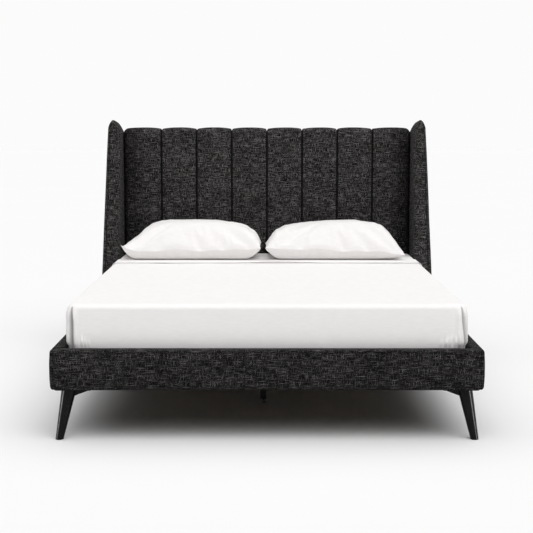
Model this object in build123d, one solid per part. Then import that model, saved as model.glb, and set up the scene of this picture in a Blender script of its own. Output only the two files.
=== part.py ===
# Queen-size upholstered platform bed with a channelled wing headboard, splayed legs,
# slats on a steel centre beam, a mattress with its two sheets, and two pillows.
# X runs across the bed, +Y points from the foot to the headboard and +Z is up.
# The origin lies on the floor under the middle of the whole bed. Lengths are millimetres.
import os

from build123d import *

# Mattress and bedding
mattress_width = 1524
mattress_length = 2032
mattress_height = 250
mattress_corner_radius = 50
mattress_top_radius = 26
mattress_bottom_radius = 10
mattress_sink = 89
fitted_sheet_thickness = 1.5
top_sheet_thickness = 2
top_sheet_edge_from_head = 572
turned_hem_drop = 90
pillow_depth = 460
pillow_height = 196
pillow_seam_height = 55
pillow_end_pull_in = 9
pillow_waist_pull_in = 12
pillow_left_gap = 34
pillow_middle_gap = 28
pillow_right_gap = 74
pillow_sink = 14

# Gaps round the mattress and running clearances
side_gap = 6
foot_gap = 10
head_gap = 5
seat_clearance = 0.3
pillow_head_gap = 4
overrun = 1

# Rails
rail_height = 155
rail_thickness = 56
rail_pad_thickness = 26
rail_top_pad = 10
rail_bottom_lining = 3
rail_edge_radius = 9
rail_end_radius = 16
leg_height = 197

# Headboard and wings
headboard_height = 1187
channel_count = 8
end_channel_extra = 16
channel_seam_thickness = 28
channel_crown = 12
channel_wing_radius = 27
channel_bottom_gap = 2
panel_thickness = 9
frame_thickness = 45
frame_member_width = 70
back_cover_thickness = 4
wing_rise = 39
wing_top_thickness = 65
wing_foot_thickness = 95
wing_crest_inset = 21
wing_top_fall = 8
wing_outer_drop = 28
wing_outer_bow = 4
wing_inner_drop = 66
wing_inner_bow = 7
wing_front_top_radius = 52
wing_back_top_radius = 18
wing_top_reach = 115
wing_foot_reach = 283
wing_front_radius = 14
wing_core_thickness = 28
wing_inner_pad = 8
wing_edge_pad = 26
wing_top_pad = 60
wing_core_top_radius = 30
wing_back_lining = 3

# Slats, their ledges and the centre beam
slat_thickness = 18
slat_width = 70
slat_count = 14
slat_end_gap = 3
slat_edge_radius = 3
first_slat_gap = 9
strap_thickness = 1.5
strap_width = 30
strap_place = 520
ledge_thickness = 30
ledge_height = 32
ledge_end_gap = 10
cross_rail_thickness = 45
beam_width = 20
beam_height = 40
beam_wall = 1.5
beam_offset = 7
hanger_wall = 2
hanger_depth = 40
hanger_ear = 20

# Centre legs with their levelling feet
centre_leg_width = 26
centre_leg_wall = 1.5
centre_leg_places = (700, 1400)
centre_leg_top_gap = 5
foot_pad_height = 6
foot_pad_radius = 12
foot_pad_edge_radius = 1.5
foot_stud_radius = 4
foot_stud_top_gap = 6
foot_travel = 10
plug_flange = 4
plug_depth = 30

# Corner legs, their brackets and blocks
leg_top_radius = 29
leg_foot_radius = 15.5
leg_inset_x = 63
leg_inset_y = 72
leg_splay = 35
glide_radius = 12
glide_height = 1.5
bracket_thickness = 4
bracket_inset = 18
bracket_reach = 152
bracket_arm = 62
bracket_corner = 118
rib_drop = 28
rib_tip_drop = 3
rib_thickness = 22
block_size = 60
block_height = 44

# Fasteners
screw_radius = 2.5
screw_head_radius = 5
screw_head_height = 2.5
screw_length = 30
screw_place = 41
screw_reach_place = 138
block_screw_place = 98
bolt_radius = 4
bolt_head_radius = 8
bolt_head_height = 5
bolt_bite = 22
bolt_place = 75
bolt_low_height = 15
bolt_high_height = 32
ledge_bolt_count = 4
wing_bolt_count = 4
centre_leg_bolt_radius = 3
centre_leg_bolt_head_radius = 5.5
centre_leg_bolt_head_height = 4

# Shares that place the centre legs' bolts across the beam, and that shape a bracket's rib
centre_leg_bolt_shares = (0.3, 0.7)
rib_root_share = 0.8

# Place across, width and depth of each fold in the tucked sheet, as shares of half the
# mattress's width, of its whole width and of the gap at its foot
fold_shares = (
    (-0.900, 0.030, 0.50),
    (-0.860, 0.020, 0.32),
    (0.830, 0.022, 0.36),
    (0.875, 0.018, 0.30),
    (0.908, 0.024, 0.44),
)

# Height, width and depth of the cuts through a fold, as shares of its own
fold_cut_shares = ((0, 1, 0.45), (0.42, 1, 0.5), (0.71, 1, 1), (1, 0.5, 0.25))

# Place across from a pillow's middle, and fullness, as shares of half its width and of
# its full thickness
pillow_shares = (
    (-1.0, 0.06),
    (-0.86, 0.50),
    (-0.62, 0.88),
    (-0.30, 0.99),
    (0.30, 0.99),
    (0.62, 0.88),
    (0.86, 0.50),
    (1.0, 0.06),
)

# Heights that follow
rail_top = leg_height + rail_height
mattress_bottom = rail_top - mattress_sink
slat_bottom = mattress_bottom - slat_thickness
sheet_stack = fitted_sheet_thickness + top_sheet_thickness
bed_top = mattress_bottom + mattress_height + fitted_sheet_thickness
channel_thickness = channel_seam_thickness + channel_crown
roll_height = headboard_height - channel_thickness
wing_height = headboard_height + wing_rise
channel_bottom = mattress_bottom + channel_bottom_gap

# Places across the bed that follow
inner_half = mattress_width / 2 + side_gap
outer_half = inner_half + rail_thickness
core_thickness = rail_thickness - rail_pad_thickness
ledge_inner = inner_half - ledge_thickness
post_inner = inner_half - frame_member_width
pillow_width = (2 * inner_half - pillow_left_gap - pillow_middle_gap - pillow_right_gap) / 2
pillow_left_centre = -inner_half + pillow_left_gap + pillow_width / 2
pillow_right_centre = inner_half - pillow_right_gap - pillow_width / 2
beam_left = beam_offset - beam_width / 2
beam_right = beam_offset + beam_width / 2

# Places along the bed that follow, from the foot to the headboard
headboard_thickness = (
    channel_thickness + panel_thickness + frame_thickness + back_cover_thickness
)
overall_length = (
    rail_thickness + foot_gap + mattress_length + head_gap + headboard_thickness
)
foot_face = -overall_length / 2
back_face = overall_length / 2
foot_inner = foot_face + rail_thickness
mattress_front = foot_inner + foot_gap
mattress_back = mattress_front + mattress_length
head_face = mattress_back + head_gap
panel_front = head_face + channel_thickness
frame_front = panel_front + panel_thickness
frame_back = frame_front + frame_thickness
cross_front = panel_front - cross_rail_thickness
wing_front = head_face - wing_foot_reach
ledge_front = foot_inner + block_size + ledge_end_gap
ledge_back = cross_front - block_size - ledge_end_gap


def block(low, high):
    """A square-edged box between two corners."""
    size = [b - a for a, b in zip(low, high)]
    middle = [(a + b) / 2 for a, b in zip(low, high)]
    return Pos(*middle) * Box(*size)


def mirrored(shape):
    """The same piece on the other side of the bed."""
    return mirror(shape, about=Plane.YZ)


def rod(start, direction, radius, length):
    """A round bar that runs from start along direction."""
    plane = Plane(origin=start, z_dir=direction)
    return plane * Cylinder(radius, length, align=(Align.CENTER, Align.CENTER, Align.MIN))


def hex_head(seat, direction, radius, height):
    """A six-sided head that stands on its seat, against the bolt's direction."""
    plane = Plane(origin=seat, z_dir=direction)
    return extrude(plane * RegularPolygon(radius, 6), amount=-height)


def bolt(seat, direction, length):
    return rod(seat, direction, bolt_radius, length) + hex_head(
        seat, direction, bolt_head_radius, bolt_head_height
    )


def screw(seat, direction, length):
    return rod(seat, direction, screw_radius, length) + hex_head(
        seat, direction, screw_head_radius, screw_head_height
    )


def joined(pieces):
    """Separate solids that share one node."""
    return Compound(children=[piece.solid() for piece in pieces])


# Headboard

def channel_edges():
    """The left and right seam of each channel: the two end channels are a little wider."""
    channel_width = 2 * (inner_half - end_channel_extra) / channel_count
    edges = [-inner_half, -inner_half + channel_width + end_channel_extra]
    edges += [edges[1] + channel_width * step for step in range(1, channel_count - 1)]
    edges.append(inner_half)
    return list(zip(edges[:-1], edges[1:]))


def channel_face(left, right):
    """One channel's section, its thickness along local Y, rounded off beside a wing."""
    middle = (left + right) / 2
    outline = Line((left, 0), (right, 0))
    outline += Line((right, 0), (right, channel_seam_thickness))
    outline += ThreePointArc(
        (right, channel_seam_thickness),
        (middle, channel_thickness),
        (left, channel_seam_thickness),
    )
    outline += Line((left, channel_seam_thickness), (left, 0))
    face = make_face(outline)
    beside_wing = face.vertices().filter_by(
        lambda corner: abs(corner.X) > inner_half - overrun and corner.Y > overrun
    )
    return fillet(beside_wing, channel_wing_radius) if beside_wing else face


def channel(left, right):
    """A padded channel that climbs the panel, rolls over its top and ends at the back."""
    face = channel_face(left, right)
    front = Plane(origin=(0, panel_front, channel_bottom), x_dir=(1, 0, 0), z_dir=(0, 0, -1))
    roll = Plane(origin=(0, panel_front, roll_height), x_dir=(1, 0, 0), z_dir=(0, 0, -1))
    top = Plane(origin=(0, panel_front, roll_height), x_dir=(1, 0, 0), z_dir=(0, -1, 0))
    roll_axis = Axis((0, panel_front, roll_height), (-1, 0, 0))
    upright = extrude(front * face, amount=channel_bottom - roll_height)
    turn = revolve(roll * face, axis=roll_axis, revolution_arc=90)
    cap = extrude(top * face, amount=panel_front - back_face)
    return upright + turn + cap


def headboard_posts():
    post = block(
        (post_inner, frame_front, leg_height), (inner_half, frame_back, roll_height)
    )
    return {"headboard_post_left": mirrored(post), "headboard_post_right": post}


def headboard_rail(low):
    """A level member between the two posts."""
    return block(
        (-post_inner, frame_front, low),
        (post_inner, frame_back, low + frame_member_width),
    )


def headboard_rails():
    top = roll_height - frame_member_width
    return {
        "headboard_top_rail": headboard_rail(top),
        "headboard_middle_rail": headboard_rail((leg_height + top) / 2),
        "headboard_bottom_rail": headboard_rail(leg_height),
    }


def headboard_panel():
    return block(
        (-inner_half, panel_front, leg_height), (inner_half, frame_front, roll_height)
    )


def headboard_back_cover():
    return block(
        (-inner_half, frame_back, leg_height), (inner_half, back_face, roll_height)
    )


def wing_outer(height):
    """How far a wing's outer face stands from the middle of the bed, least at the top."""
    flare = (wing_foot_thickness - wing_top_thickness) / (wing_height - leg_height)
    return inner_half + wing_foot_thickness - flare * (height - leg_height)


def wing_crest(place):
    """The height of the ridge along a wing's top, which falls towards the back."""
    front = head_face - wing_top_reach
    return wing_height - wing_top_fall * (place - front) / (back_face - front)


def wing_lean(height):
    """How far back a wing's front edge leans at a height above the rail."""
    lean = (wing_foot_reach - wing_top_reach) / (wing_height - rail_top)
    return lean * max(0, height - rail_top)


def wing_profile(inset_front, inset_top, inset_back, radii):
    """The wing seen from the side: a front edge that leans back above the rail."""
    top = wing_height - inset_top
    top_front = wing_front + wing_lean(top) + inset_front
    back = back_face - inset_back
    outline = FilletPolyline(
        (wing_front + inset_front, leg_height),
        (wing_front + inset_front, rail_top),
        (top_front, wing_crest(top_front) - inset_top),
        (back, wing_crest(back) - inset_top),
        (back, leg_height),
        radius=radii,
        close=True,
    )
    return make_face(outline)


def wing_section(place):
    """An upright cut across a wing, whose top drops away on both sides of its ridge."""
    top = wing_crest(place)
    shoulder = top - wing_outer_drop
    crest = (wing_outer(top) - wing_crest_inset, top)
    outer_shoulder = (wing_outer(shoulder), shoulder)
    inner_shoulder = (inner_half, top - wing_inner_drop)
    outline = Line((inner_half, leg_height), (wing_outer(leg_height), leg_height))
    outline += Line((wing_outer(leg_height), leg_height), outer_shoulder)
    outline += SagittaArc(outer_shoulder, crest, -wing_outer_bow)
    outline += SagittaArc(crest, inner_shoulder, -wing_inner_bow)
    outline += Line(inner_shoulder, (inner_half, leg_height))
    upright = Plane(origin=(0, place, 0), x_dir=(1, 0, 0), z_dir=(0, -1, 0))
    return upright * make_face(outline)


def wing_core():
    """The board inside a wing, bare at its lower edge."""
    radii = [0, 0, wing_core_top_radius, 0, 0]
    side = wing_profile(wing_edge_pad, wing_top_pad, wing_back_lining, radii)
    return extrude(Plane.YZ.offset(inner_half + wing_inner_pad) * side, amount=wing_core_thickness)


def wing_cut(height):
    """A level cut through the wing, its two front corners rounded."""
    front = wing_front + wing_lean(height)
    outline = FilletPolyline(
        (inner_half, front),
        (wing_outer(height), front),
        (wing_outer(height), back_face),
        (inner_half, back_face),
        radius=[wing_front_radius, wing_front_radius, 0, 0],
        close=True,
    )
    return Pos(0, 0, height) * make_face(outline)


def wing_pad():
    """The padded wing, hollow where its board stands."""
    body = loft([wing_cut(height) for height in (leg_height, rail_top, wing_height)], ruled=True)
    body = body & loft([wing_section(back_face), wing_section(wing_front)], ruled=True)
    radii = [0, 0, wing_front_top_radius, wing_back_top_radius, 0]
    side = Plane.YZ.offset(inner_half - overrun) * wing_profile(0, -overrun, 0, radii)
    body = body & extrude(side, amount=wing_foot_thickness + 2 * overrun)
    return body - wing_core()


# Rails, ledges and slats

def foot_rail_core():
    half = outer_half - rail_pad_thickness
    return block(
        (-half, foot_inner - core_thickness, leg_height + rail_bottom_lining),
        (half, foot_inner, rail_top - rail_top_pad),
    )


def foot_rail_cover():
    """The padded cover of the foot rail, open towards the mattress where its board lies."""
    body = block((-outer_half, foot_face, leg_height), (outer_half, foot_inner, rail_top))
    lower_ends = body.edges().filter_by(Axis.Y).group_by(Axis.Z)[0]
    body = fillet(lower_ends, rail_end_radius)
    soft = body.edges().filter_by(
        lambda edge: edge.center().Y < foot_face + overrun or edge.center().Z > rail_top - overrun
    )
    return fillet(soft, rail_edge_radius) - foot_rail_core()


def side_rail_core():
    return block(
        (inner_half, foot_inner, leg_height + rail_bottom_lining),
        (inner_half + core_thickness, wing_front, rail_top - rail_top_pad),
    )


def side_rail_cover():
    """The padded cover of a side rail, between the foot rail and the wing."""
    body = block((inner_half, foot_inner, leg_height), (outer_half, wing_front, rail_top))
    long_edges = body.edges().filter_by(Axis.Y)
    soft = long_edges.filter_by(
        lambda edge: edge.center().Z > rail_top - overrun or edge.center().X > outer_half - overrun
    )
    return fillet(soft, rail_edge_radius) - side_rail_core()


def head_cross_rail():
    return block(
        (-ledge_inner, cross_front, leg_height), (ledge_inner, panel_front, slat_bottom)
    )


def slat_ledge():
    return block(
        (ledge_inner, ledge_front, slat_bottom - ledge_height),
        (inner_half, ledge_back, slat_bottom),
    )


def slat_places():
    """The middle of each slat, evenly spread under the mattress."""
    first = foot_inner + first_slat_gap + slat_width / 2
    last = head_face - first_slat_gap - slat_width / 2
    pitch = (last - first) / (slat_count - 1)
    return [first + pitch * step for step in range(slat_count)]


def slat(place):
    """One slat, with its long upper edges eased."""
    half = inner_half - slat_end_gap
    board = block(
        (-half, place - slat_width / 2, slat_bottom),
        (half, place + slat_width / 2, mattress_bottom),
    )
    upper = board.edges().filter_by(Axis.X).filter_by(
        lambda edge: edge.center().Z > mattress_bottom - overrun
    )
    return fillet(upper, slat_edge_radius)


def slat_straps():
    """Two webbing straps under the slats that keep them evenly apart."""
    places = slat_places()
    straps = []
    for side in (-1, 1):
        middle = side * strap_place
        straps.append(
            block(
                (middle - strap_width / 2, places[0], slat_bottom - strap_thickness),
                (middle + strap_width / 2, places[-1], slat_bottom),
            )
        )
    return straps


def centre_beam():
    """A rectangular steel tube from the foot rail to the head cross rail."""
    low = (beam_left, foot_inner + hanger_wall, slat_bottom - beam_height)
    high = (beam_right, cross_front - hanger_wall, slat_bottom)
    bore_low = (low[0] + beam_wall, low[1] - overrun, low[2] + beam_wall)
    bore_high = (high[0] - beam_wall, high[1] + overrun, high[2] - beam_wall)
    return block(low, high) - block(bore_low, bore_high)


def beam_hanger(seat, inward):
    """A pressed-steel saddle, open at the top, with an ear each side screwed to its rail."""
    low = slat_bottom - beam_height
    mouth = seat + inward * hanger_depth
    near = seat + inward * hanger_wall
    saddle = block(
        (beam_left - hanger_wall, min(seat, mouth), low - hanger_wall),
        (beam_right + hanger_wall, max(seat, mouth), slat_bottom),
    )
    pocket = block(
        (beam_left, min(near, mouth + inward), low), (beam_right, max(near, mouth + inward), slat_bottom)
    )
    ears = block(
        (beam_left - hanger_wall - hanger_ear, min(seat, near), low),
        (beam_right + hanger_wall + hanger_ear, max(seat, near), slat_bottom),
    )
    return ears + saddle - pocket


def hanger_screws(seat, inward):
    """The screws through a hanger's two ears."""
    reach = beam_width / 2 + hanger_wall + hanger_ear / 2
    height = slat_bottom - beam_height / 2
    near = seat + inward * hanger_wall
    return [
        screw((beam_offset + side * reach, near, height), (0, -inward, 0), bolt_bite)
        for side in (-1, 1)
    ]


# Centre legs

def centre_leg(place):
    """A square tube bolted to the side of the beam."""
    left = beam_left - centre_leg_width
    front = foot_face + place - centre_leg_width / 2
    low = (left, front, centre_leg_bottom())
    high = (beam_left, front + centre_leg_width, slat_bottom - centre_leg_top_gap)
    bore_low = (left + centre_leg_wall, front + centre_leg_wall, low[2] - overrun)
    bore_high = (
        beam_left - centre_leg_wall,
        front + centre_leg_width - centre_leg_wall,
        high[2] + overrun,
    )
    return block(low, high) - block(bore_low, bore_high)


def centre_leg_bottom():
    return foot_pad_height + foot_travel + seat_clearance + plug_flange


def centre_leg_plug(place):
    """The plastic plug in a centre leg's foot, bored for the levelling stud."""
    middle = beam_left - centre_leg_width / 2
    front = foot_face + place
    bottom = centre_leg_bottom()
    outer = centre_leg_width / 2
    inner = outer - centre_leg_wall
    flange = block(
        (middle - outer, front - outer, bottom - plug_flange), (middle + outer, front + outer, bottom)
    )
    body = block(
        (middle - inner, front - inner, bottom), (middle + inner, front + inner, bottom + plug_depth)
    )
    bore = rod(
        (middle, front, bottom - plug_flange - overrun),
        (0, 0, 1),
        foot_stud_radius + seat_clearance,
        plug_flange + plug_depth + 2 * overrun,
    )
    return flange + body - bore


def centre_foot(place):
    """A levelling foot: a round pad on a stud that screws into the leg."""
    middle = beam_left - centre_leg_width / 2
    front = foot_face + place
    pad = rod((middle, front, 0), (0, 0, 1), foot_pad_radius, foot_pad_height)
    rim = pad.edges().sort_by(Axis.Z)[-1]
    pad = fillet(rim, foot_pad_edge_radius)
    stud_top = centre_leg_bottom() + plug_depth - foot_stud_top_gap
    stud_length = stud_top - foot_pad_height
    return pad + rod((middle, front, foot_pad_height), (0, 0, 1), foot_stud_radius, stud_length)


def centre_leg_bolts(place):
    """Two bolts through each centre leg and the beam beside it."""
    front = foot_face + place
    length = centre_leg_width + beam_width + centre_leg_bolt_head_height
    bolts = []
    for share in centre_leg_bolt_shares:
        height = slat_bottom - beam_height * share
        seat = (beam_left - centre_leg_width, front, height)
        shank = rod(seat, (1, 0, 0), centre_leg_bolt_radius, length)
        head = hex_head(seat, (1, 0, 0), centre_leg_bolt_head_radius, centre_leg_bolt_head_height)
        bolts.append(shank + head)
    return bolts


# Corner legs

def corner_point(corner, x_inset, y_inset, height):
    """A point given by its distance from the frame's side and from its foot or back."""
    side, end = corner
    return (side * (outer_half - x_inset), end * (back_face - y_inset), height)


def leg(corner):
    """A round tapered leg that splays towards its corner."""
    top = corner_point(corner, leg_inset_x, leg_inset_y, leg_height - bracket_thickness)
    foot = corner_point(corner, leg_inset_x - leg_splay, leg_inset_y - leg_splay, glide_height)
    return loft([Pos(*foot) * Circle(leg_foot_radius), Pos(*top) * Circle(leg_top_radius)], ruled=True)


def leg_glide(corner):
    foot = corner_point(corner, leg_inset_x - leg_splay, leg_inset_y - leg_splay, 0)
    return rod(foot, (0, 0, 1), glide_radius, glide_height)


def bracket_rib(corner, along_x):
    """A wedge-shaped rib that runs from the leg along one rail."""
    middle = leg_inset_y if along_x else leg_inset_x
    start = leg_inset_x if along_x else leg_inset_y
    profile = [
        (start, leg_height - bracket_thickness),
        (bracket_reach, leg_height - bracket_thickness),
        (bracket_reach, leg_height - bracket_thickness - rib_tip_drop),
        (start + leg_top_radius * rib_root_share, leg_height - bracket_thickness - rib_drop),
        (start, leg_height - bracket_thickness - rib_drop),
    ]
    points = []
    for inset, height in profile:
        near = middle - rib_thickness / 2
        place = (inset, near) if along_x else (near, inset)
        points.append(corner_point(corner, *place, height))
    side, end = corner
    direction = (0, -end, 0) if along_x else (-side, 0, 0)
    face = make_face(Polyline(*points, close=True))
    return extrude(face, amount=rib_thickness, dir=direction)


def leg_bracket(corner):
    """A cast corner plate with two tapered ribs that stand against the leg."""
    outline = [
        (bracket_inset, bracket_inset),
        (bracket_reach, bracket_inset),
        (bracket_reach, bracket_arm + bracket_inset),
        (bracket_corner, bracket_corner),
        (bracket_arm + bracket_inset, bracket_reach),
        (bracket_inset, bracket_reach),
    ]
    bottom = leg_height - bracket_thickness
    points = [corner_point(corner, x, y, bottom) for x, y in outline]
    plate = extrude(make_face(Polyline(*points, close=True)), amount=bracket_thickness, dir=(0, 0, 1))
    ribs = bracket_rib(corner, True) + bracket_rib(corner, False)
    return plate + (ribs - leg(corner))


def leg_screws(corner):
    """Three screws up through a leg bracket: into each rail and into the corner block."""
    places = [
        (screw_reach_place, screw_place),
        (screw_place, screw_reach_place),
        (block_screw_place, block_screw_place),
    ]
    seat_height = leg_height - bracket_thickness
    return [
        screw(corner_point(corner, x, y, seat_height), (0, 0, 1), screw_length) for x, y in places
    ]


def block_face(corner):
    """How far the face that a corner block stands on lies from the foot or the back."""
    return rail_thickness if corner[1] < 0 else back_face - cross_front


def corner_block(corner):
    start = block_face(corner)
    first = corner_point(corner, rail_thickness, start, leg_height)
    second = corner_point(
        corner, rail_thickness + block_size, start + block_size, leg_height + block_height
    )
    low = [min(a, b) for a, b in zip(first, second)]
    high = [max(a, b) for a, b in zip(first, second)]
    return block(low, high)


def corner_bolts(corner):
    """Two bolts that pull a corner block against the rails beside it."""
    side, end = corner
    start = block_face(corner)
    across = corner_point(
        corner, rail_thickness + block_size, start + bolt_place - rail_thickness,
        leg_height + bolt_low_height,
    )
    along = corner_point(corner, bolt_place, start + block_size, leg_height + bolt_high_height)
    length = block_size + bolt_bite
    return [bolt(across, (side, 0, 0), length), bolt(along, (0, end, 0), length)]


def ledge_bolts(side):
    """Bolts through a slat ledge into the rail and wing boards beside it."""
    height = slat_bottom - ledge_height / 2
    step = (ledge_back - ledge_front) / ledge_bolt_count
    return [
        bolt(
            (side * ledge_inner, ledge_front + step * (index + 0.5), height),
            (side, 0, 0),
            ledge_thickness + bolt_bite,
        )
        for index in range(ledge_bolt_count)
    ]


def wing_bolts(side):
    """Bolts from each headboard post into the board of the wing beside it."""
    step = (roll_height - leg_height) / wing_bolt_count
    middle = (frame_front + frame_back) / 2
    return [
        bolt(
            (side * post_inner, middle, leg_height + step * (index + 0.5)),
            (side, 0, 0),
            frame_member_width + wing_inner_pad + bolt_bite,
        )
        for index in range(wing_bolt_count)
    ]


# Bedding

def rounded_block(grow, top):
    """The mattress's own form, grown outwards by an even amount."""
    plan = Pos(0, (mattress_front + mattress_back) / 2, mattress_bottom) * RectangleRounded(
        mattress_width + 2 * grow, mattress_length + 2 * grow, mattress_corner_radius + grow
    )
    body = extrude(plan, amount=top - mattress_bottom)
    rim = body.edges().group_by(Axis.Z)[-1]
    return fillet(rim, mattress_top_radius + grow)


def mattress():
    body = rounded_block(0, mattress_bottom + mattress_height)
    rim = body.edges().group_by(Axis.Z)[0]
    return fillet(rim, mattress_bottom_radius)


def fitted_sheet():
    """A close sheet over the mattress's top and sides."""
    outer = rounded_block(fitted_sheet_thickness, bed_top)
    return outer - rounded_block(0, mattress_bottom + mattress_height)


def top_sheet_layer(inner_grow, thickness, front, back, bottom):
    """A sheet that lies over the bed between two places along it."""
    inner_top = mattress_bottom + mattress_height + inner_grow
    outer = rounded_block(inner_grow + thickness, inner_top + thickness)
    zone = block((-outer_half, front, bottom), (outer_half, back, headboard_height))
    return (outer & zone) - rounded_block(inner_grow, inner_top)


def sheet_fold(middle, face, cuts):
    """A soft upright fold in the tucked sheet: lens-shaped cuts, fullest part way up."""
    back = face + top_sheet_thickness / 2
    faces = []
    for height, width, depth in cuts:
        left = middle - width / 2
        right = middle + width / 2
        outline = Line((left, back, height), (right, back, height))
        outline += Line((right, back, height), (right, face, height))
        outline += ThreePointArc(
            (right, face, height), (middle, face - depth, height), (left, face, height)
        )
        outline += Line((left, face, height), (left, back, height))
        faces.append(make_face(outline))
    return loft(faces)


def top_sheet_folds():
    """The folds beside the two foot corners, where the tucked sheet gathers."""
    face = mattress_front - sheet_stack
    crest = bed_top + top_sheet_thickness - mattress_top_radius - sheet_stack
    folds = []
    for place_share, width_share, depth_share in fold_shares:
        cuts = [
            (
                mattress_bottom + height * (crest - mattress_bottom),
                width * width_share * mattress_width,
                depth * depth_share * foot_gap,
            )
            for height, width, depth in fold_cut_shares
        ]
        folds.append(sheet_fold(place_share * mattress_width / 2, face, cuts))
    return folds


def top_sheet():
    """The flat sheet: tucked in at the foot and sides, its upper edge turned down."""
    edge = head_face - top_sheet_edge_from_head
    hem_back = pillow_middle() - pillow_reach(2 * top_sheet_thickness + seat_clearance)
    sheet = top_sheet_layer(
        fitted_sheet_thickness, top_sheet_thickness, foot_face, hem_back, mattress_bottom
    )
    hem_bottom = rail_top + turned_hem_drop
    hem = top_sheet_layer(sheet_stack, top_sheet_thickness, edge, hem_back, hem_bottom)
    for fold in top_sheet_folds():
        sheet = sheet + fold
    return sheet + hem


def pillow_middle():
    """The line across the bed under the middle of both pillows."""
    return head_face - pillow_head_gap - pillow_depth / 2


def pillow_reach(height):
    """How far from its middle a pillow's underside has risen to a height above its seat."""
    drop = pillow_seam_height + pillow_sink
    radius = ((pillow_depth / 2) ** 2 + drop ** 2) / (2 * drop)
    return (radius ** 2 - (radius - pillow_sink - height) ** 2) ** 0.5


def pillow_section(x, half_depth, rise, drop, front):
    """An upright cut across a pillow, from its front seam to its back seam."""
    seam = bed_top + seat_clearance + pillow_seam_height
    back = front + 2 * half_depth
    middle = front + half_depth
    upper = ThreePointArc((x, front, seam), (x, middle, seam + rise), (x, back, seam))
    lower = ThreePointArc((x, back, seam), (x, middle, seam - drop), (x, front, seam))
    return make_face(upper + lower)


def pillow_outline(centre):
    """The space above the bed inside a pillow's two drawn-in ends."""
    left = centre - pillow_width / 2
    right = centre + pillow_width / 2
    front = pillow_middle() - pillow_depth / 2
    back = pillow_middle() + pillow_depth / 2
    outline = Line((left, front), (right, front)) + Line((left, back), (right, back))
    outline += ThreePointArc(
        (right, front), (right - pillow_end_pull_in, pillow_middle()), (right, back)
    )
    outline += ThreePointArc(
        (left, front), (left + pillow_end_pull_in, pillow_middle()), (left, back)
    )
    plan = Pos(0, 0, bed_top + seat_clearance) * make_face(outline)
    return extrude(plan, amount=2 * pillow_height)


def pillow(centre):
    """A full pillow with drawn-in sides, pressed flat where it lies on the bed."""
    half_width = pillow_width / 2
    cuts = []
    for place_share, full_share in pillow_shares:
        waist = pillow_waist_pull_in * (1 - place_share ** 2)
        half_depth = pillow_depth / 2 - waist
        front = pillow_middle() - half_depth
        rise = (pillow_height - pillow_seam_height) * full_share
        drop = (pillow_seam_height + pillow_sink) * full_share
        cuts.append(pillow_section(centre + place_share * half_width, half_depth, rise, drop, front))
    body = loft(cuts)
    return body & pillow_outline(centre)


# The whole bed

corners = {
    "front_left": (-1, -1),
    "front_right": (1, -1),
    "rear_left": (-1, 1),
    "rear_right": (1, 1),
}


def build_fasteners():
    """Every bolt and screw, by node."""
    bolts = []
    screws = hanger_screws(foot_inner, 1) + hanger_screws(cross_front, -1)
    for corner in corners.values():
        bolts += corner_bolts(corner)
        screws += leg_screws(corner)
    for side in (-1, 1):
        bolts += ledge_bolts(side) + wing_bolts(side)
    leg_bolts = [item for place in centre_leg_places for item in centre_leg_bolts(place)]
    return bolts, screws, leg_bolts


def build_headboard(nodes):
    nodes.update(headboard_posts())
    nodes.update(headboard_rails())
    nodes["headboard_panel"] = headboard_panel()
    nodes["headboard_back_cover"] = headboard_back_cover()
    for number, (left, right) in enumerate(channel_edges(), start=1):
        nodes[f"headboard_channel_{number}"] = channel(left, right)
    nodes["wing_core_right"] = wing_core()
    nodes["wing_core_left"] = mirrored(wing_core())
    nodes["wing_pad_right"] = wing_pad()
    nodes["wing_pad_left"] = mirrored(wing_pad())


def build_frame(nodes):
    nodes["foot_rail_core"] = foot_rail_core()
    nodes["foot_rail_cover"] = foot_rail_cover()
    nodes["side_rail_core_right"] = side_rail_core()
    nodes["side_rail_core_left"] = mirrored(side_rail_core())
    nodes["side_rail_cover_right"] = side_rail_cover()
    nodes["side_rail_cover_left"] = mirrored(side_rail_cover())
    nodes["head_cross_rail"] = head_cross_rail()
    nodes["slat_ledge_right"] = slat_ledge()
    nodes["slat_ledge_left"] = mirrored(slat_ledge())
    nodes["centre_beam"] = centre_beam()
    nodes["beam_hanger_foot"] = beam_hanger(foot_inner, 1)
    nodes["beam_hanger_head"] = beam_hanger(cross_front, -1)
    nodes["slats"] = joined([slat(place) for place in slat_places()])
    nodes["slat_straps"] = joined(slat_straps())


def build_legs(nodes):
    for name, corner in corners.items():
        nodes[f"leg_{name}"] = leg(corner)
        nodes[f"leg_bracket_{name}"] = leg_bracket(corner)
        nodes[f"corner_block_{name}"] = corner_block(corner)
    nodes["leg_glides"] = joined([leg_glide(corner) for corner in corners.values()])
    for name, place in zip(("front", "rear"), centre_leg_places):
        nodes[f"centre_leg_{name}"] = centre_leg(place)
        nodes[f"levelling_foot_{name}"] = centre_foot(place)
    nodes["centre_leg_plugs"] = joined([centre_leg_plug(place) for place in centre_leg_places])


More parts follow.
